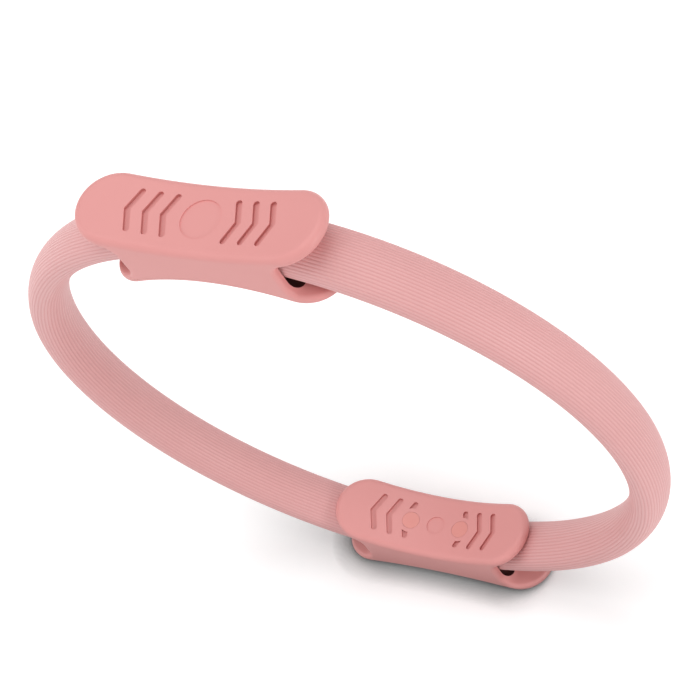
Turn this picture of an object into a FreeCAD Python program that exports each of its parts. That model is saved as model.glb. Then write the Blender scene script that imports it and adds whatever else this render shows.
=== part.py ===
import FreeCAD, Part
import math
import os

V = FreeCAD.Vector

# A pilates ring that stands upright on its lower grip. Sizes are in millimetres.
# Y is the ring's axis, the two grips lie on Z, and the two foam-covered bows lie on X.
ring_mid_radius = 172.5

# Foam sleeves: an oval tube round each bow, cut square at both ends inside the grips.
sleeve_thickness = 20.6
sleeve_width = 31.2
sleeve_edge_radius = 7.6
sleeve_end_share = 0.808
sleeve_side_clearance = 0.9
sleeve_bore_clearance = 0.4

# Spring bands: two flat strips nested in each bow, held by one screw at each end.
band_width = 18.0
band_thickness = 2.4
band_layer_gap = 0.3
band_end_x = 7.0
band_clearance = 0.35
band_corner_radius = 4.0

# Grips: a palm plate outside the ring and one inside it, joined by side walls.
# Each face is hollowed along its length, so a grip is an hourglass seen from the side,
# and the hollow runs out into flat round ends that are tangent to it.
outer_face_offset = 9.8
outer_face_radius = 300.0
outer_length = 137.6
inner_face_offset = 16.2
inner_face_radius = 128.0
inner_setback = 5.7
plate_thickness = 6.5
rim_radius = 3.5
plate_land = 0.4

# Mouths: the side walls stop short of the plates' ends and let the sleeves in.
# The pocket inside the grip runs on past the walls and ends there with round corners.
mouth_corner_radius = 8.5
pocket_overhang = 4.2
pocket_corner_radius = 5.5

# Shell and cover: the shell has the outer plate and the walls, the cover is the inner plate.
# Shares of the mouth's place along the grip set where ribs, screws and sleeve ends come.
wall_thickness = 4.0
roof_thickness = 4.8
cover_thickness = 3.8
parting_gap = 0.1
rib_share = 0.674
rib_thickness = 2.4
stop_rib_thickness = 3.0
inside_clearance = 0.25

# Screws, their bosses and the plugs that close the screw wells in the cover.
screw_share = 0.3706
screw_core_diameter = 3.6
screw_bite = 4.0
screw_head_diameter = 7.6
screw_head_height = 2.6
screw_slot_width = 1.2
screw_slot_depth = 1.1
screw_slot_length = 4.6
screw_clearance = 0.08
screw_hole_clearance = 0.45
boss_diameter = 14.0
plug_diameter = 10.8
plug_thickness = 2.6
plug_clearance = 0.12
plug_seat_gap = 0.2

# Grip pattern: chevron grooves that point to the grip's ends, and a round thumb recess.
chevron_first_share = 0.307
chevron_pitch_share = 0.144
chevron_count = 3
chevron_span = 10.6
chevron_run = 3.9
chevron_width = 3.4
chevron_depth = 1.6
plug_collar_radius = 7.9
outer_dish_diameter = 22.0
inner_dish_diameter = 11.5
dish_depth = 0.6

# Cutting shapes pass what they cut by the overrun. Points this near count as one place.
overrun = 2.0
match_tolerance = 0.001

OUTWARD = 1
INWARD = -1
half_turn = 180.0
ring_axis = V(0, 1, 0)
origin = V(0, 0, 0)
pocket_half_width = sleeve_width / 2 + sleeve_side_clearance
half_grip = pocket_half_width + wall_thickness
grip_width = 2 * half_grip
inner_length = outer_length - 2 * inner_setback
lip_radius = plate_thickness - rim_radius - plate_land
band_stack = band_thickness + band_layer_gap + band_thickness


def hollow_face(side, offset, radius, length):
    """A palm face: an arc along the grip that runs out into flat ends at the tilt that gives the length."""
    tilt = math.asin(length / 2 / math.hypot(radius, half_grip)) - math.atan2(half_grip, radius)
    return (side, offset, radius, tilt)


def below(face, depth):
    """The palm face sunk by a depth: its arc keeps its centre and gains the depth in radius."""
    side, offset, radius, tilt = face
    return (side, offset - depth, radius + depth, tilt)


def arc_end(face):
    """Where the arc ends and the flat end begins, along the grip."""
    side, offset, radius, tilt = face
    return radius * math.sin(tilt)


def flat_height(face, x):
    """Height of a face's flat end over the ring's centre, x along the grip."""
    side, offset, radius, tilt = face
    rise = radius * (1 - math.cos(tilt)) + (abs(x) - arc_end(face)) * math.tan(tilt)
    return ring_mid_radius + side * (offset + rise)


def height(face, x):
    """Height of a palm face over the ring's centre, x along the grip."""
    side, offset, radius, tilt = face
    if abs(x) > arc_end(face):
        return flat_height(face, x)
    return ring_mid_radius + side * (offset + radius - math.sqrt(radius ** 2 - x ** 2))


def face_path(face, x0, x1, y):
    """The face's side view from x0 to x1 in the plane at y: an arc, and lines where it has run out."""
    end = arc_end(face)
    stops = [x0] + [x for x in (-end, end) if x0 < x < x1] + [x1]
    edges = []
    for start, stop in zip(stops, stops[1:]):
        points = [V(x, y, height(face, x)) for x in (start, (start + stop) / 2, stop)]
        if max(abs(start), abs(stop)) > end:
            edges.append(Part.makeLine(points[0], points[2]))
        else:
            edges.append(Part.Arc(*points).toShape())
    return edges


def slab(upper, lower, x0, x1, half_width):
    """The block between two palm faces, from x0 to x1."""
    y = -half_width
    sides = [Part.makeLine(V(x, y, height(upper, x)), V(x, y, height(lower, x))) for x in (x0, x1)]
    edges = face_path(upper, x0, x1, y) + face_path(lower, x0, x1, y) + sides
    return prism(edges, 2 * half_width)


def prism(edges, width):
    """A closed side view given thickness along the ring's axis."""
    return Part.Face(Part.Wire(Part.__sortEdges__(edges))).extrude(ring_axis * width)


def both_ends(shape):
    """A shape at the grip's right end together with its mirror image at the left end."""
    return [shape, shape.mirror(origin, V(1, 0, 0))]


def lies_on(surface, face, level):
    """True for a piece of surface whose corners all lie at a face's level along the grip."""
    return all(math.isclose(v.Z, level(face, v.X), abs_tol=match_tolerance) for v in surface.Vertexes)


def upright(edge):
    """True for an edge that runs along Z."""
    run = edge.Vertexes[-1].Point - edge.Vertexes[0].Point
    return math.hypot(run.x, run.y) < match_tolerance


def outline_edges(faces):
    """The edges round the outside of a patch of faces: those that only one of them has."""
    uses = {}
    for face in faces:
        for edge in face.Edges:
            uses.setdefault(edge.hashCode(), []).append(edge)
    return [edges[0] for edges in uses.values() if len(edges) == 1]


def mouth_notch():
    """The gap between the plates at the right end, with round inner corners."""
    under_plate = below(outer_face, plate_thickness)
    over_plate = below(inner_face, plate_thickness)
    stations = ((mouth_x, under_plate), (reach_x, under_plate), (reach_x, over_plate), (mouth_x, over_plate))
    corners = [V(x, -grip_width, flat_height(face, x)) for x, face in stations]
    block = prism(Part.makePolygon(corners + corners[:1]).Edges, 2 * grip_width)
    across = [e for e in block.Edges if math.isclose(e.Length, 2 * grip_width)]
    inner_corners = [e for e in across if math.isclose(e.CenterOfMass.x, mouth_x, abs_tol=match_tolerance)]
    return block.makeFillet(mouth_corner_radius, inner_corners)


def end_cutter(face):
    """What lies outside the full round right end of a plate, square to the plate's flat end."""
    side, offset, radius, tilt = face
    depth = plate_thickness + mouth_corner_radius
    tall = overrun + depth
    bottom = -depth if side == OUTWARD else -overrun
    block = Part.makeBox(grip_width, 2 * grip_width, tall, V(0, -grip_width, bottom))
    cutter = block.cut(Part.makeCylinder(half_grip, tall, V(0, 0, bottom)))
    cutter.rotate(origin, ring_axis, -side * math.degrees(tilt))
    cutter.translate(V(arc_end(face), 0, height(face, arc_end(face))))
    return cutter


def grip_form():
    """The whole outside of a grip: hourglass from the side, round-ended from above, mouths cut."""
    form = slab(outer_face, inner_face, -reach_x, reach_x, half_grip)
    for cutter in (mouth_notch(), end_cutter(outer_face), end_cutter(inner_face)):
        form = form.cut(Part.Compound(both_ends(cutter)))
    return round_edges(form.Solids[0])


def round_edges(form):
    """Soft rims round both palm faces and a soft lip round each mouth."""
    for face in (outer_face, inner_face):
        palm = [f for f in form.Faces if lies_on(f, face, height)]
        form = form.makeFillet(rim_radius, outline_edges(palm))
    throat = [f for f in form.Faces if in_mouth(f)]
    return form.makeFillet(lip_radius, outline_edges(throat))


def in_mouth(surface):
    """True for the faces that a mouth's notch has left: two plates, two round corners, one wall."""
    if isinstance(surface.Surface, Part.Cylinder):
        return math.isclose(surface.Surface.Radius, mouth_corner_radius)
    at_wall = all(math.isclose(abs(v.X), mouth_x, abs_tol=match_tolerance) for v in surface.Vertexes)
    plates = [below(face, plate_thickness) for face in (outer_face, inner_face)]
    return at_wall or any(lies_on(surface, plate, flat_height) for plate in plates)


def post(diameter, x, bottom, top):
    """A round post along Z at a place along the grip."""
    return Part.makeCylinder(diameter / 2, top - bottom, V(x, 0, bottom))


def ring_bar(inner_radius, outer_radius, width, start_x):
    """A flat bar bent round the ring's axis through the right bow, between start_x at both grips."""
    start = math.degrees(math.asin(start_x / ring_mid_radius))
    corner = V(0, -width / 2, inner_radius)
    profile = Part.makePlane(width, outer_radius - inner_radius, corner, V(1, 0, 0), V(0, 1, 0))
    profile.rotate(origin, ring_axis, start)
    return profile.revolve(origin, ring_axis, half_turn - 2 * start)


def band_channel():
    """The room that the bands of both bows take up inside the grips."""
    room = band_stack / 2 + band_clearance
    width = band_width + 2 * band_clearance
    right = ring_bar(ring_mid_radius - room, ring_mid_radius + room, width, band_end_x - band_clearance)
    return Part.Compound(both_ends(right))


def sleeve_section():
    """Oval of four tangent arcs: two tight ones at the edges and two flat ones between them."""
    edge = sleeve_edge_radius
    half_thickness = sleeve_thickness / 2
    edge_y = sleeve_width / 2 - edge
    flat = (edge_y ** 2 + half_thickness ** 2 - edge ** 2) / (2 * (half_thickness - edge))
    join_share = flat / (flat - edge)
    join_y = edge_y * join_share
    join_z = (flat - half_thickness) * (join_share - 1)
    arcs = []
    for sign in (1, -1):
        top = [(-join_y, join_z), (0, half_thickness), (join_y, join_z)]
        side = [(join_y, join_z), (sleeve_width / 2, 0), (join_y, -join_z)]
        for points in (top, side):
            arcs.append(Part.Arc(*[V(0, sign * y, ring_mid_radius + sign * z) for y, z in points]).toShape())
    return Part.Face(Part.Wire(Part.__sortEdges__(arcs)))


def foam_sleeve():
    """Oval foam tube of the right bow with a flat bore for the bands."""
    start = math.degrees(math.asin(sleeve_end_x / ring_mid_radius))
    section = sleeve_section()
    section.rotate(origin, ring_axis, start)
    tube = section.revolve(origin, ring_axis, half_turn - 2 * start)
    room = band_stack / 2 + sleeve_bore_clearance
    width = band_width + 2 * sleeve_bore_clearance
    return tube.cut(ring_bar(ring_mid_radius - room, ring_mid_radius + room, width, band_end_x))


def spring_band(inner_radius):
    """One flat strip of the right bow, with round-cornered ends and a screw hole at each end."""
    strip = ring_bar(inner_radius, inner_radius + band_thickness, band_width, band_end_x)
    ends = [e for e in strip.Edges if math.isclose(e.Length, band_thickness)]
    strip = strip.makeFillet(band_corner_radius, ends)
    hole = screw_core_diameter + 2 * screw_hole_clearance
    reach = ring_mid_radius + band_stack
    return strip.cut(post(hole, screw_x, -reach, reach))


def rib(x, thickness):
    """A cross rib inside the grip, over the grip's whole width and height."""
    bottom = height(inner_face, x)
    corner = V(x - thickness / 2, -half_grip, bottom)
    return Part.makeBox(thickness, grip_width, height(outer_face, x) - bottom, corner)


def inside_supports(half_width):
    """Screw bosses and cross ribs that hold the bands, rooted halfway into the plates and walls."""
    bottom = height(inner_face, screw_x)
    top = height(outer_face, screw_x)
    bosses = [post(boss_diameter, x, bottom, top) for x in (-screw_x, screw_x)]
    ribs = [rib(x, rib_thickness) for x in (-rib_x, rib_x)]
    supports = rib(0, stop_rib_thickness).multiFuse(bosses + ribs).cut(band_channel())
    high_root = below(outer_face, roof_thickness / 2)
    low_root = below(inner_face, cover_thickness / 2)
    return supports.common(slab(high_root, low_root, -mouth_x, mouth_x, half_width))


def midline_drum(radius):
    """A drum round the ring's axis that parts the supports of the shell from those of the cover."""
    return Part.makeCylinder(radius, 2 * grip_width, V(0, -grip_width, 0), ring_axis)


def chevron(tip_x):
    """Outline of a groove of two arms that meet at tip_x and lean back to the grip's middle."""
    half = chevron_width / 2
    arm = math.hypot(chevron_run, chevron_span)
    along = V(-chevron_run / arm, chevron_span / arm, 0)
    square = V(chevron_span / arm, chevron_run / arm, 0)
    end = V(tip_x - chevron_run, chevron_span, 0)
    mitre = V(half * arm / chevron_span, 0, 0)
    tip = V(tip_x, 0, 0)
    upper = [tip + mitre, end + square * half, end + along * half, end - square * half, tip - mitre]
    lower = [V(p.x, -p.y, 0) for p in upper]
    edges = []
    for points in (upper, lower):
        edges.append(Part.makeLine(points[0], points[1]))
        edges.append(Part.Arc(*points[1:4]).toShape())
        edges.append(Part.makeLine(points[3], points[4]))
    return Part.Face(Part.Wire(Part.__sortEdges__(edges)))


def sunk(face, pattern, depth):
    """The part of a pattern of upright prisms that lies within a depth below a palm face."""
    skin = slab(below(face, -overrun), below(face, depth), -reach_x, reach_x, grip_width)
    return pattern.common(skin)


def grip_grooves(face):
    """Chevron grooves of one depth, three to each end."""
    side = face[0]
    shares = [chevron_first_share + chevron_pitch_share * i for i in range(chevron_count)]
    tips = [share * outer_length / 2 for share in shares]
    blades = [chevron(x).extrude(V(0, 0, side * grip_width)) for x in tips]
    for blade in blades:
        blade.translate(V(0, 0, ring_mid_radius))
    return sunk(face, Part.Compound([b for blade in blades for b in both_ends(blade)]), chevron_depth)


def thumb_recess(face, diameter):
    """A shallow round recess in the middle of a palm face."""
    ends = sorted((ring_mid_radius, ring_mid_radius + face[0] * grip_width))
    return sunk(face, post(diameter, 0, *ends), dish_depth)


outer_face = hollow_face(OUTWARD, outer_face_offset, outer_face_radius, outer_length)
inner_face = hollow_face(INWARD, inner_face_offset, inner_face_radius, inner_length)
reach_x = outer_length / 2 + overrun
cover_top = below(inner_face, cover_thickness)
mouth_x = arc_end(cover_top)
sleeve_end_x = mouth_x * sleeve_end_share
rib_x = mouth_x * rib_share
screw_x = mouth_x * screw_share
shell_floor = below(inner_face, cover_thickness + parting_gap)
outside_cover = below(inner_face, -overrun)
plug_top = height(inner_face, screw_x) + plug_thickness
screw_seat = plug_top + plug_seat_gap + screw_head_height
screw_end = ring_mid_radius + band_stack / 2 + screw_bite


def pocket():
    """The room inside the shell, between its walls and from its roof down to the cover."""
    end = mouth_x + pocket_overhang
    room = slab(below(outer_face, roof_thickness), shell_floor, -end, end, pocket_half_width)
    return room.makeFillet(pocket_corner_radius, [e for e in room.Edges if upright(e)])


def grip_shell(form):
    """Outer palm plate and side walls, hollow inside, with low bosses and ribs over the bands."""
    shell = form.cut(slab(shell_floor, outside_cover, -reach_x, reach_x, grip_width))
    supports = inside_supports(half_grip - wall_thickness / 2)
    supports = supports.cut(midline_drum(ring_mid_radius + parting_gap / 2))
    shell = shell.cut(pocket()).fuse(supports)
    pilot = screw_core_diameter + 2 * screw_clearance
    pilot_end = screw_end + screw_clearance
    cuts = [grip_grooves(outer_face), thumb_recess(outer_face, outer_dish_diameter)]
    for x in (-screw_x, screw_x):
        cuts.append(post(pilot, x, ring_mid_radius - band_stack, pilot_end))
    return shell.cut(Part.Compound(cuts)).removeSplitter()


def grip_cover(form):
    """Inner palm plate with tall screw bosses and ribs that carry the bands from below."""
    plate = form.common(slab(cover_top, outside_cover, -reach_x, reach_x, grip_width))
    supports = inside_supports(pocket_half_width - inside_clearance)
    cover = plate.fuse(supports.common(midline_drum(ring_mid_radius - parting_gap / 2)))
    well = plug_diameter + 2 * plug_clearance
    hole = screw_core_diameter + 2 * screw_hole_clearance
    face_low = height(inner_face, mouth_x) - overrun
    cuts = [thumb_recess(inner_face, inner_dish_diameter), plain_grooves()]
    for x in (-screw_x, screw_x):
        cuts.append(post(well, x, face_low, screw_seat))
        cuts.append(post(hole, x, screw_seat - overrun, ring_mid_radius))
    return cover.cut(Part.Compound(cuts)).removeSplitter()


def plain_grooves():
    """The inner face's grooves, left out in a collar round each screw well."""
    low = height(inner_face, mouth_x) - overrun
    collars = [post(2 * plug_collar_radius, x, low, ring_mid_radius) for x in (-screw_x, screw_x)]
    return grip_grooves(inner_face).cut(Part.Compound(collars))


def screw(x):
    """Pan-head screw that goes up from the cover through both bands into the shell."""
    head_bottom = screw_seat - screw_head_height
    head = post(screw_head_diameter, x, head_bottom, screw_seat)
    for long, wide in ((screw_slot_length, screw_slot_width), (screw_slot_width, screw_slot_length)):
        head = head.cut(Part.makeBox(long, wide, screw_slot_depth, V(x - long / 2, -wide / 2, head_bottom)))
    return head.fuse(post(screw_core_diameter, x, screw_seat, screw_end)).removeSplitter()


def screw_plug(x):
    """Disc that closes a screw well flush with the hollowed face."""
    low = height(inner_face, mouth_x)
    disc = post(plug_diameter, x, low, plug_top)
    return disc.common(slab(outer_face, inner_face, -mouth_x, mouth_x, grip_width))


def grip_pieces():
    """Every piece of the upper grip, by its name without the word upper."""
    form = grip_form()
    return {
        "grip_shell": grip_shell(form),
        "grip_cover": grip_cover(form),
        "grip_screws": Part.Compound([screw(-screw_x), screw(screw_x)]),
        "left_screw_plug": screw_plug(-screw_x),
        "right_screw_plug": screw_plug(screw_x),
    }


def lower(shape):
    """The same piece on the lower grip: half a turn about the ring's axis."""
    turned = shape.copy()
    turned.rotate(origin, ring_axis, half_turn)
    return turned


nodes = {}
for name, shape in grip_pieces().items():
    nodes["upper_" + name] = shape
    nodes["lower_" + name] = lower(shape)
bow_pieces = {
    "foam_sleeve": foam_sleeve(),
    "outer_spring_band": spring_band(ring_mid_radius + band_layer_gap / 2),
    "inner_spring_band": spring_band(ring_mid_radius - band_layer_gap / 2 - band_thickness),
}
for name, shape in bow_pieces.items():
    nodes["right_" + name], nodes["left_" + name] = both_ends(shape)

ground = nodes["lower_grip_shell"].optimalBoundingBox().ZMin
os.makedirs("parts", exist_ok=True)
for name, shape in nodes.items():
    shape.translate(V(0, 0, -ground))
    shape.exportStep("parts/" + name + ".step")
    print(name, len(shape.Solids), round(shape.Volume), shape.isValid())
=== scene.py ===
import bpy
import numpy as np
from mathutils import Matrix, Vector


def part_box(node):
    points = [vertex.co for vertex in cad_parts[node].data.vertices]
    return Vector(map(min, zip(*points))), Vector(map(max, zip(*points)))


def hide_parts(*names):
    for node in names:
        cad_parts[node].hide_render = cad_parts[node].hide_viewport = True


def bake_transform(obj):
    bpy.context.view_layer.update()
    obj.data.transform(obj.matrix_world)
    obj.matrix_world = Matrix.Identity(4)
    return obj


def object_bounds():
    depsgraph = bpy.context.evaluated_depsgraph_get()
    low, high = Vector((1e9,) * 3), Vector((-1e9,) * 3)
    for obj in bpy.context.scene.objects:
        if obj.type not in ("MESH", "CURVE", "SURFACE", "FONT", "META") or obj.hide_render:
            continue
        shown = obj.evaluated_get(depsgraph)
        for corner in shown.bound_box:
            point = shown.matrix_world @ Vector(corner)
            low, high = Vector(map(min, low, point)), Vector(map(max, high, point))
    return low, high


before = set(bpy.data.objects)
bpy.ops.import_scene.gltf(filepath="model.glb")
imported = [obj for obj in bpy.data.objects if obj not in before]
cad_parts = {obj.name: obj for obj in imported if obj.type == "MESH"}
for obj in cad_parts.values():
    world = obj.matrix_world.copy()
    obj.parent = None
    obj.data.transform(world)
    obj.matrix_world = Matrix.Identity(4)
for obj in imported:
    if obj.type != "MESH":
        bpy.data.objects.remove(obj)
cad_low, cad_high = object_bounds()


# SPRING BANDS
# Four flat strips of pultruded glass fibre give the ring its spring, two nested in each bow.
# Each is sawn to length, rounded at its corners, drilled near both ends and held by the grips' screws.
ring_centre = (cad_low.z + cad_high.z) / 2
ring_mid_radius = 0.1725
band_width = 0.018
band_thickness = 0.0024
band_layer_gap = 0.0003
band_end_x = 0.007
band_corner_radius = 0.004
band_edge_radius = 0.0003
band_hole_diameter = 0.0045
band_rows = 120
band_corner_steps = 7
band_edge_steps = 4
band_hole_sides = 32
band_crease = np.radians(40)
fibre_size = 0.0004
fibre_stretch = 17.25
fibre_depth = 0.00003
resin_cloud = 0.012
fibre_pale = (0.80, 0.77, 0.62, 1)
fibre_deep = (0.62, 0.57, 0.40, 1)


class Shade:
    """One value of a finish: a node's output that takes part in sums. Each operator adds one Math node."""

    def __init__(self, tree, socket=None):
        self.tree = tree
        self.socket = socket

    def node(self, kind, settings, inputs, output=0):
        """Adds a node of a kind, sets its settings, then sets or joins its inputs, and gives one output."""
        made = self.tree.nodes.new(kind)
        for name, value in settings.items():
            setattr(made, name, value)
        for name, value in inputs.items():
            if isinstance(value, Shade):
                self.tree.links.new(value.socket, made.inputs[name])
            else:
                made.inputs[name].default_value = value
        return Shade(self.tree, made.outputs[output] if made.outputs else None)

    def math(self, operation, *values):
        return self.node("ShaderNodeMath", {"operation": operation}, dict(enumerate(values)))

    def mix(self, low, high):
        """The colour that is low where this value is 0 and high where it is 1. A Mix node takes its two
        colours at inputs 6 and 7 and gives the mixed one at output 2."""
        return self.node("ShaderNodeMix", {"data_type": "RGBA"}, {0: self, 6: low, 7: high}, 2)

    def __add__(self, other):
        return self.math("ADD", self, other)

    def __sub__(self, other):
        return self.math("SUBTRACT", self, other)

    def __rsub__(self, other):
        return self.math("SUBTRACT", other, self)

    def __mul__(self, other):
        return self.math("MULTIPLY", self, other)

    def __pow__(self, other):
        return self.math("POWER", self, other)

    __radd__ = __add__
    __rmul__ = __mul__


def new_finish(name):
    """A material, the start of its sums and the place on the piece, which is all that it holds so far."""
    material = bpy.data.materials.new(name)
    material.use_nodes = True
    material.node_tree.nodes.clear()
    start = Shade(material.node_tree)
    return material, start, start.node("ShaderNodeTexCoord", {}, {}, "Object")


def speckle(start, place, size, detail=2.0):
    """Soft noise from 0 to 1 over a place, with grains of about a size in metres."""
    inputs = {"Vector": place, "Scale": 1 / size, "Detail": detail}
    return start.node("ShaderNodeTexNoise", {}, inputs, "Fac")


def relief(start, height, strength, depth):
    """The lean of a skin whose height follows a value from 0 to 1, over a depth in metres."""
    return start.node("ShaderNodeBump", {}, {"Strength": strength, "Distance": depth, "Height": height})


def surface(start, **inputs):
    """Ends a finish: its shader with these inputs goes to the material's output."""
    named = {name.replace("_", " "): value for name, value in inputs.items()}
    shader = start.node("ShaderNodeBsdfPrincipled", {}, named)
    start.node("ShaderNodeOutputMaterial", {}, {"Surface": shader})


def on_bow(side, turn, outward, across):
    """Places on a bow. turn is the angle from the upper grip's middle, outward the distance from the
    ring's middle line, across the distance along the ring's axis; side is 1 on the right, -1 on the left."""
    reach = ring_mid_radius + outward
    x = side * reach * np.sin(turn)
    z = ring_centre + reach * np.cos(turn)
    return np.stack(np.broadcast_arrays(x, across, z), -1)


def piece_from_grid(name, points, looped=False):
    """A piece from a grid of points, rows by columns. Its columns close round the piece. Its rows close
    round too if it is looped, and otherwise the first and last row are filled by one flat face each."""
    rows, columns = points.shape[:2]
    number = np.arange(rows * columns).reshape(rows, columns)
    beside = np.roll(number, -1, 1)
    quads = np.stack([number, beside, np.roll(beside, -1, 0), np.roll(number, -1, 0)], -1)
    if looped:
        faces = quads.reshape(-1, 4).tolist()
    else:
        faces = quads[:-1].reshape(-1, 4).tolist() + [number[0, ::-1].tolist(), number[-1].tolist()]
    mesh = bpy.data.meshes.new(name)
    mesh.from_pydata(points.reshape(-1, 3), [], faces)
    mesh.shade_smooth()
    piece = bpy.data.objects.new(name, mesh)
    bpy.context.scene.collection.objects.link(piece)
    return piece


def band_grid(side, outward):
    """A rounded rectangle carried round a bow: its corners turn by quarter circles of the edge radius, and
    near each end its half width falls along a quarter circle of the corner radius."""
    start = np.arcsin(band_end_x / ring_mid_radius)
    length = (np.pi - 2 * start) * ring_mid_radius
    near_end = band_corner_radius * (1 - np.cos(np.linspace(0, np.pi / 2, band_corner_steps)))
    between_ends = np.linspace(0, length, band_rows)[2:-2]
    along = np.concatenate([near_end, between_ends, length - near_end[::-1]])
    to_end = np.minimum(np.minimum(along, length - along), band_corner_radius)
    inset = band_corner_radius - np.sqrt(band_corner_radius ** 2 - (band_corner_radius - to_end) ** 2)
    half_width = (band_width / 2 - inset - band_edge_radius)[:, None]
    corner = np.repeat(np.arange(4), band_edge_steps)
    angle = corner * np.pi / 2 + np.tile(np.linspace(0, np.pi / 2, band_edge_steps), 4)
    to_side = np.array([1, 1, -1, -1])[corner]
    to_top = np.array([1, -1, -1, 1])[corner]
    across = to_side * half_width + band_edge_radius * np.sin(angle)
    rise = to_top * (band_thickness / 2 - band_edge_radius) + band_edge_radius * np.cos(angle)
    turn = (start + along / ring_mid_radius)[:, None]
    return on_bow(side, turn, outward + rise, across)[:, ::side]


def drilled(piece, x):
    """The piece's mesh with a round hole through both its ends, along the height of the ring."""
    angle = np.linspace(0, 2 * np.pi, band_hole_sides, endpoint=False)
    height = np.array([[cad_low.z], [cad_high.z]])
    radius = band_hole_diameter / 2
    ring = np.broadcast_arrays(x + radius * np.cos(angle), radius * np.sin(angle), height)
    drill = piece_from_grid("drill", np.stack(ring, -1))
    cut = piece.modifiers.new("hole", "BOOLEAN")
    cut.object = drill
    cut.operation = "DIFFERENCE"
    mesh = bpy.data.meshes.new_from_object(piece.evaluated_get(bpy.context.evaluated_depsgraph_get()))
    piece.modifiers.clear()
    bpy.data.objects.remove(drill)
    return mesh


band_finish, start, place = new_finish("glass_fibre_strip")
x, y, z = [start.node("ShaderNodeSeparateXYZ", {}, {"Vector": place}, axis) for axis in "XYZ"]
up = z - ring_centre
lengthwise = start.math("ARCTAN2", x, up) * (ring_mid_radius / fibre_stretch)
from_centre = start.math("SQRT", x * x + up * up)
fibre_place = start.node("ShaderNodeCombineXYZ", {}, {"X": y, "Y": from_centre, "Z": lengthwise})
fibre = speckle(start, fibre_place, fibre_size, detail=3)
resin = speckle(start, place, resin_cloud)
surface(start, Base_Color=(fibre * 0.7 + resin * 0.3).mix(fibre_deep, fibre_pale),
        Roughness=0.3 + fibre * 0.2, Normal=relief(start, fibre, strength=0.4, depth=fibre_depth))

plug_low, plug_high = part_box("upper_right_screw_plug")
screw_x = (plug_low.x + plug_high.x) / 2
layer_rise = (band_layer_gap + band_thickness) / 2
for side_name, side in (("right", 1), ("left", -1)):
    for layer_name, rise in (("outer", layer_rise), ("inner", -layer_rise)):
        band = piece_from_grid(f"{side_name}_{layer_name}_band", band_grid(side, rise))
        band.data = drilled(band, side * screw_x)
        band.data.set_sharp_from_angle(angle=band_crease)
        band.data.materials.append(band_finish)
        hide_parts(f"{side_name}_{layer_name}_spring_band")
        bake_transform(band)


# FOAM SLEEVES
# A soft tube of closed-cell foam over the bands of each bow, pressed to an oval and cut square at its ends.
# It is extruded with fine ribs along its length, which the bow's bend crowds a little on the outer side.
sleeve_thickness = 0.0206
sleeve_width = 0.0312
sleeve_edge_radius = 0.0076
sleeve_end_x = 0.03647
bore_width = 0.0188
bore_height = 0.0059
bore_power = 12
rib_count = 45
rib_crowding = 0.654
groove_depth = 0.0002
groove_sharpness = 2.5
rib_columns = 8
sleeve_rows = 160
bore_rows = 24
outline_steps = 4001
sleeve_crease = np.radians(65)
foam_cell = 0.00045
foam_cell_depth = 0.00006
foam_bloom = 0.035
foam_crest = (0.75, 0.375, 0.370, 1)
foam_groove_painted_shade = (0.69, 0.322, 0.316, 1)
foam_rubbed = (0.775, 0.425, 0.418, 1)


def sleeve_outline(rib):
    """The ribbed oval at rib numbers counted from the middle of its outer side, as outward and across.

    The oval has two flat arcs and two tight ones, tangent where they join. The rib number reached at a
    share of the way round is rib_count * share + rib_crowding * sin(one turn * share). From rib to rib
    the radius dips by the groove's depth, as a cosine raised to a power.
    """
    edge = sleeve_edge_radius
    edge_y = sleeve_width / 2 - edge
    half = sleeve_thickness / 2
    flat = (edge_y ** 2 + half ** 2 - edge ** 2) / (2 * (half - edge))
    join = np.arctan2(edge_y, flat - half)
    normals = np.array([0, join, np.pi - join, np.pi + join, 2 * np.pi - join, 2 * np.pi])
    lengths = np.array([flat, edge, flat, edge, flat]) * np.diff(normals)
    reached = np.concatenate([[0], np.cumsum(lengths)])
    share = np.linspace(0, 1, outline_steps)
    rib_at_share = rib_count * share + rib_crowding * np.sin(2 * np.pi * share)
    normal = np.interp(np.interp(rib, rib_at_share, share) * reached[-1], reached, normals)
    on_edge = np.abs(np.cos(normal)) < np.cos(join)
    dip = groove_depth * (0.5 + 0.5 * np.cos(2 * np.pi * rib)) ** groove_sharpness
    radius = np.where(on_edge, edge, flat) - dip
    across = np.where(on_edge, np.sign(np.sin(normal)) * edge_y, 0) + radius * np.sin(normal)
    outward = np.where(on_edge, 0, -np.sign(np.cos(normal)) * (flat - half)) + radius * np.cos(normal)
    return outward, across


def bore_outline(outward, across):
    """The flat bore, seen from the middle in the same directions as the outline round it: a rectangle with
    soft corners, where both distances, as shares of half its sides, add up to 1 when each is raised to the
    bore's power."""
    outward_share = np.abs(outward) / (bore_height / 2)
    across_share = np.abs(across) / (bore_width / 2)
    size = (outward_share ** bore_power + across_share ** bore_power) ** (1 / bore_power)
    return outward / size, across / size


def sleeve_grid(side):
    """The outline carried along the outside of a bow, in across the cut end, back through the bore and out
    across the other cut end, so that the rows close in a loop."""
    outer = np.stack(sleeve_outline(np.arange(rib_count * rib_columns) / rib_columns))
    bore = np.stack(bore_outline(*outer))
    first = np.arcsin(sleeve_end_x / ring_mid_radius)
    last = np.pi - first
    outside = np.linspace(first, last, sleeve_rows)
    inside = np.linspace(last, first, bore_rows)
    turns = np.concatenate([outside, [last], inside, [first]])
    inward = np.concatenate([np.zeros(sleeve_rows), [0.5], np.ones(bore_rows), [0.5]])[:, None]
    outward, across = [outer[i] * (1 - inward) + bore[i] * inward for i in (0, 1)]
    return on_bow(side, turns[:, None], outward, across)[:, ::side]


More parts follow.
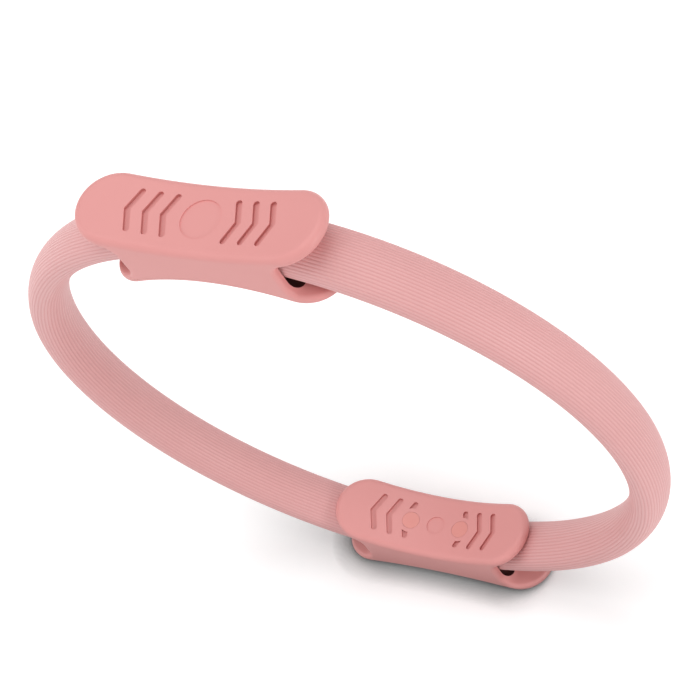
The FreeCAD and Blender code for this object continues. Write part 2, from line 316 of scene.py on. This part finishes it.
def wrap_map(mesh, rows, columns, side):
    """A map over the whole looped grid: ribs from 0 to 1 one way and rows from 0 to 1 the other."""
    column, row = np.meshgrid(np.arange(columns), np.arange(rows))
    u = np.stack([column, column + 1, column + 1, column], -1) / columns
    v = np.stack([row, row, row + 1, row + 1], -1) / rows
    if side < 0:
        u = (columns - 1) / columns - u
    places = np.stack([u, v], -1).astype(np.float32).ravel()
    mesh.uv_layers.new(name="OFBake").uv.foreach_set("vector", places)


foam_finish, start, place = new_finish("ribbed_foam")
wrap = start.node("ShaderNodeUVMap", {"uv_map": "OFBake"}, {})
rib_turn = start.node("ShaderNodeSeparateXYZ", {}, {"Vector": wrap}, "X") * (2 * np.pi * rib_count)
groove = (start.math("COSINE", rib_turn) * 0.5 + 0.5) ** groove_sharpness
bloom = speckle(start, place, foam_bloom)
cells = speckle(start, place, foam_cell, detail=4)
crest = (bloom * 0.6 + cells * 0.3).mix(foam_crest, foam_rubbed)
# Painted shade: the rib grooves are coloured darker, as shade falls between the ribs; the same groove mask
# also roughens them.
surface(start, Base_Color=groove.mix(crest, foam_groove_painted_shade), Roughness=0.36 + cells * 0.14 + groove * 0.1,
        Normal=relief(start, cells, strength=0.35, depth=foam_cell_depth), Specular_IOR_Level=0.5)

for side_name, side in (("right", 1), ("left", -1)):
    grid = sleeve_grid(side)
    sleeve = piece_from_grid(f"{side_name}_sleeve", grid, looped=True)
    wrap_map(sleeve.data, *grid.shape[:2], side)
    sleeve.data.set_sharp_from_angle(angle=sleeve_crease)
    sleeve.data.materials.append(foam_finish)
    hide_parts(f"{side_name}_foam_sleeve")
    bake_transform(sleeve)


# GRIP SHELLS AND COVERS
# Each grip is two injection mouldings of soft-touch pink plastic, a shell with the side walls and a cover.
# They close over the bands' ends. The mould leaves a fine eroded grain and faint flow marks. The grooves'
# walls and floors of the palm faces carry painted shade in a deeper pink, and the pocket inside painted
# shade near black.
outer_face_offset = 0.0098
outer_face_radius = 0.300
inner_face_offset = 0.0162
inner_face_radius = 0.128
groove_half_span = 0.0128
groove_start = 0.0125
groove_reach = 0.0435
groove_floor = 0.0016
groove_wall_shares = (0.06, 0.2, 0.9, 1.0)
groove_floor_shares = (0.9, 1.0, 1.1, 1.4)
groove_deepening = 0.9
floor_deepening = 0.3
span_softness = 0.05
edge_softness = 0.02
roof_thickness = 0.0048
cover_thickness = 0.0038
pocket_half_width = 0.0165
pocket_end = 0.0493
pocket_shares = (0.94, 0.98, 1.1, 1.2)
flow_mark = 0.03
mould_grain = 0.0005
mould_grain_depth = 0.00004
grip_pink = (0.772, 0.328, 0.313, 1)
grip_flow = (0.742, 0.305, 0.291, 1)
groove_painted_shade_pink = (0.62, 0.225, 0.21, 1)
pocket_painted_shade = (0.09, 0.028, 0.026, 1)


def step(start, value, low, high):
    """A soft step from 0 at low to 1 at high."""
    inputs = {"Value": value, "From Min": low, "From Max": high}
    return start.node("ShaderNodeMapRange", {"interpolation_type": "SMOOTHSTEP"}, inputs)


def between(start, value, size, shares):
    """1 where a value lies between the two middle shares of a size, falling softly to 0 at the outer two."""
    outer_low, low, high, outer_high = [size * share for share in shares]
    return step(start, value, outer_low, low) * step(start, value, outer_high, high)


grip_finish, start, place = new_finish("grip_plastic")
x, y, z = [start.node("ShaderNodeSeparateXYZ", {}, {"Vector": place}, axis) for axis in "XYZ"]
reach = start.math("ABSOLUTE", z - ring_centre)
outer_hollow = outer_face_radius - start.math("SQRT", outer_face_radius ** 2 - x * x)
inner_hollow = inner_face_radius - start.math("SQRT", inner_face_radius ** 2 - x * x)
under_outer = ring_mid_radius + outer_face_offset + outer_hollow - reach
under_inner = reach - (ring_mid_radius - inner_face_offset - inner_hollow)
from_middle = start.math("ABSOLUTE", x)
from_axis = start.math("ABSOLUTE", y)
faces = (under_outer, under_inner)
# Painted shade: the grooves' walls, and less so their floors, are coloured a deeper pink where shade falls
# in them.
on_walls = [between(start, under, groove_floor, groove_wall_shares) for under in faces]
on_floors = [between(start, under, groove_floor, groove_floor_shares) for under in faces]
in_span = step(start, from_axis, groove_half_span * (1 + span_softness), groove_half_span)
past_start = step(start, from_middle, groove_start * (1 - edge_softness), groove_start)
in_reach = step(start, from_middle, groove_reach * (1 + edge_softness), groove_reach)
in_groove = in_span * past_start * in_reach
on_floor = (on_floors[0] + on_floors[1]) * floor_deepening
groove_painted_shade = (on_walls[0] + on_walls[1] + on_floor) * in_groove * groove_deepening
# Painted shade: the roof and cover faces inside the pocket are coloured near black, as the shade in the
# mouths.
under_roof = between(start, under_outer, roof_thickness, pocket_shares)
over_cover = between(start, under_inner, cover_thickness, pocket_shares)
in_width = step(start, from_axis, pocket_half_width * (1 + edge_softness), pocket_half_width)
in_length = step(start, from_middle, pocket_end * (1 + edge_softness), pocket_end)
in_pocket = (under_roof + over_cover) * in_width * in_length
flow = speckle(start, place, flow_mark)
grain = speckle(start, place, mould_grain, detail=4)
moulded = (flow * 0.7 + grain * 0.3).mix(grip_flow, grip_pink)
# The base colour below holds the painted shade of the grooves and of the pocket.
surface(start, Base_Color=in_pocket.mix(groove_painted_shade.mix(moulded, groove_painted_shade_pink), pocket_painted_shade),
        Roughness=0.36 + grain * 0.18 + in_pocket * 0.4,
        Normal=relief(start, grain, strength=0.3, depth=mould_grain_depth), Specular_IOR_Level=0.42)


def carry_finish(material, *names):
    """Gives a finish to parts of the frame that are shown as they are."""
    for name in names:
        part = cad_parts[name]
        part.data.materials.clear()
        part.data.materials.append(material)


carry_finish(grip_finish, "upper_grip_shell", "lower_grip_shell", "upper_grip_cover", "lower_grip_cover")


# GRIP SCREWS
# Two pan-head steel screws go from each cover through the bands into the shell's bosses.
# They are cold-headed and zinc plated, and show fine tool marks under the plating.
zinc_bright = (0.66, 0.67, 0.69, 1)
zinc_dull = (0.46, 0.47, 0.48, 1)
tool_mark = 0.0003
tool_mark_depth = 0.00002
patina_cloud = 0.003

screw_finish, start, place = new_finish("zinc_plated_steel")
marks = speckle(start, place, tool_mark, detail=3)
patina = speckle(start, place, patina_cloud)
surface(start, Base_Color=(patina * 0.6 + marks * 0.4).mix(zinc_dull, zinc_bright), Metallic=1.0,
        Roughness=0.28 + marks * 0.2, Normal=relief(start, marks, strength=0.25, depth=tool_mark_depth))
carry_finish(screw_finish, "upper_grip_screws", "lower_grip_screws")


# SCREW PLUGS
# Small discs pressed into the covers' screw wells, flush with the palm face.
# They come from another mould, so their pink is a little more orange and their skin a little smoother.
plug_pink = (0.782, 0.302, 0.268, 1)
plug_flow = (0.76, 0.29, 0.255, 1)
plug_flow_mark = 0.006
plug_grain = 0.0004
plug_grain_depth = 0.00003

plug_finish, start, place = new_finish("plug_plastic")
flow = speckle(start, place, plug_flow_mark)
grain = speckle(start, place, plug_grain, detail=3)
surface(start, Base_Color=flow.mix(plug_flow, plug_pink), Roughness=0.38 + grain * 0.16,
        Normal=relief(start, grain, strength=0.2, depth=plug_grain_depth))
carry_finish(plug_finish, "upper_left_screw_plug", "upper_right_screw_plug",
             "lower_left_screw_plug", "lower_right_screw_plug")


# FLOOR
# A wide sheet of white paper that the lower grip stands on and that takes the ring's soft shadow.
# Close under the grip its colour is darkened as a painted shadow, and for rays that carry light the paper
# round the grip is painted dark as painted shade, so it throws little light back. Further off it lifts into
# the white room.
floor_half_side = 8.0
floor_drop = 0.0002
black = (0, 0, 0, 1)
white = (1, 1, 1, 1)
floor_white = (0.95, 0.95, 0.95, 1)
floor_painted_shade = (0.05, 0.05, 0.05, 1)
floor_lift = 0.3
shadow_lean = (0.7, 0.1, 0.7)
shadow_samples = 4
shadows = ((0.016, 2.0), (0.07, 0.3), (0.15, 0.25))
shaded_reach = 0.1
shaded_end = 0.18
sweep_start = 0.35
sweep_end = 1.6

corners = np.array([[-1, -1, 0], [1, -1, 0], [1, 1, 0], [-1, 1, 0]]) * floor_half_side
corners[:, 2] = -floor_drop
floor_mesh = bpy.data.meshes.new("floor")
floor_mesh.from_pydata(corners, [], [[0, 1, 2, 3]])
floor = bpy.data.objects.new("floor", floor_mesh)
bpy.context.scene.collection.objects.link(floor)


def seen_directly(start):
    """1 on rays from the camera, on reflections and through clear things, 0 on rays that carry light."""
    kinds = ("Camera", "Glossy", "Transmission")
    seen, mirrored, through = [start.node("ShaderNodeLightPath", {}, {}, f"Is {kind} Ray") for kind in kinds]
    return start.math("MINIMUM", seen + mirrored + through, 1.0)


floor_finish, start, place = new_finish("studio_floor")
away = start.node("ShaderNodeVectorMath", {"operation": "LENGTH"}, {0: place}, "Value")
swept = step(start, away, sweep_start, sweep_end)
leaning = start.node("ShaderNodeCombineXYZ", {}, dict(enumerate(shadow_lean)))
# Painted shadow: the paper's colour and its white lift are darkened close to the ring by the occlusion nodes
# below.
openness = 1.0
for reach, strength in shadows:
    inputs = {"Distance": reach, "Normal": leaning}
    opening = start.node("ShaderNodeAmbientOcclusion", {"samples": shadow_samples}, inputs, "AO")
    openness = opening ** strength * openness
paper_with_painted_shadow = openness.mix(black, floor_white)
seen = seen_directly(start)
# Painted shade: for rays that carry light, the paper near the grip is coloured near black, so it throws
# little light back on the grip.
shaded = step(start, away, shaded_end, shaded_reach) * (1 - seen)
lift = seen * (floor_lift * openness + swept * (1 - floor_lift))
surface(start, Base_Color=shaded.mix(paper_with_painted_shadow, floor_painted_shade), Roughness=1.0, Specular_IOR_Level=0.0,
        Emission_Color=lift.mix(black, white), Emission_Strength=1.0)
floor.data.materials.append(floor_finish)


# LIGHT
# A white room with a wide softbox overhead, a little behind the ring, and weak cards at three sides.
# Each softbox has its place, its width and its power in watts, and faces the middle of the ring.
room_level = 0.5
softboxes = {
    "overhead_softbox": ((0.0, 0.4, 2.6), 2.4, 24.5),
    "front_card": ((-0.3, -2.2, 1.1), 1.6, 8.5),
    "right_card": ((2.45, -0.35, 0.85), 0.8, 16.0),
    "left_card": ((-2.0, -0.6, 1.5), 1.6, 9.0),
}

room = bpy.data.worlds.new("white_room")
room.use_nodes = True
room.node_tree.nodes.clear()
start = Shade(room.node_tree)
room_strength = seen_directly(start) * (1 - room_level) + room_level
room_light = start.node("ShaderNodeBackground", {}, {"Color": white, "Strength": room_strength})
start.node("ShaderNodeOutputWorld", {}, {"Surface": room_light})
bpy.context.scene.world = room

aim = Vector((0, 0, ring_centre))
for name, (spot, size, power) in softboxes.items():
    light = bpy.data.lights.new(name, "AREA")
    light.shape = "DISK"
    light.size = size
    light.energy = power
    softbox = bpy.data.objects.new(name, light)
    softbox.location = spot
    softbox.rotation_euler = (Vector(spot) - aim).to_track_quat("Z", "Y").to_euler()
    bpy.context.scene.collection.objects.link(softbox)


# CAMERA
# High in front of the ring and to its right, looking down through it.
# Its place, from the middle of the ring, and its turn were fitted to the photograph's outlines.
camera_place = Vector((0.486385, -0.368969, 0.813469))
camera_right = Vector((0.869371, 0.336051, -0.362303))
camera_down = Vector((0.123484, -0.857646, -0.499194))
camera_ahead = Vector((-0.478483, 0.389246, -0.787110))
sensor_width = 36
lens_length = 95.5717

lens = bpy.data.cameras.new("camera")
lens.sensor_width = sensor_width
lens.lens = lens_length
camera = bpy.data.objects.new("camera", lens)
turned = Matrix((camera_right, -camera_down, -camera_ahead)).transposed().to_4x4()
camera.matrix_world = Matrix.Translation(camera_place + aim) @ turned
bpy.context.scene.collection.objects.link(camera)
bpy.context.scene.camera = camera
bpy.context.scene.view_settings.view_transform = "Standard"

bpy.context.view_layer.update()
